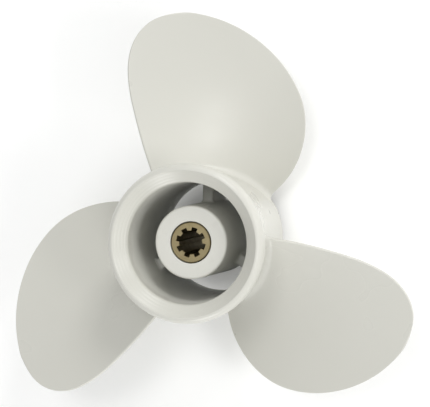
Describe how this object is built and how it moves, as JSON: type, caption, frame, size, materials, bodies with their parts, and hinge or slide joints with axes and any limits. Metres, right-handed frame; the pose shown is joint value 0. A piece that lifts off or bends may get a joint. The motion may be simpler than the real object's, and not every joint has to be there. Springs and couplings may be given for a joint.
{
  "type": "boat propeller",
  "caption": "Right-hand outboard propeller with rounded, skewed blades on an exhaust barrel; a rubber damper carries its splined brass sleeve.",
  "frame": {"origin": "on the shaft axis, at the plane of the barrel's front ring, which the part stands on", "axes": "+Z along the shaft axis, aft, out of the barrel's mouth; +Y along the line of blade_1; +X completes the frame"},
  "size_m": [0.214, 0.1991, 0.085],
  "materials": {
    "painted_aluminium": "off-white semi-gloss enamel on a cast alloy",
    "brass": "machined, slightly dulled",
    "black_rubber": "moulded, matt"
  },
  "bodies": {
    "drive_sleeve": {"splined_sleeve": "brass", "rubber_damper": "black_rubber"},
    "propeller": {"outer_barrel": "painted_aluminium", "inner_hub": "painted_aluminium", "blade_1": "painted_aluminium", "blade_2": "painted_aluminium", "blade_3": "painted_aluminium", "web_1": "painted_aluminium", "web_2": "painted_aluminium", "web_3": "painted_aluminium"}
  },
  "joints": [
    {"name": "damper_windup", "type": "hinge", "parent": "drive_sleeve", "child": "propeller", "pos_m": [0, 0, 0.032], "axis": [0, 0, 1], "range_deg": [-15, 15], "stiffness_Nm_per_rad": 182}
  ]
}
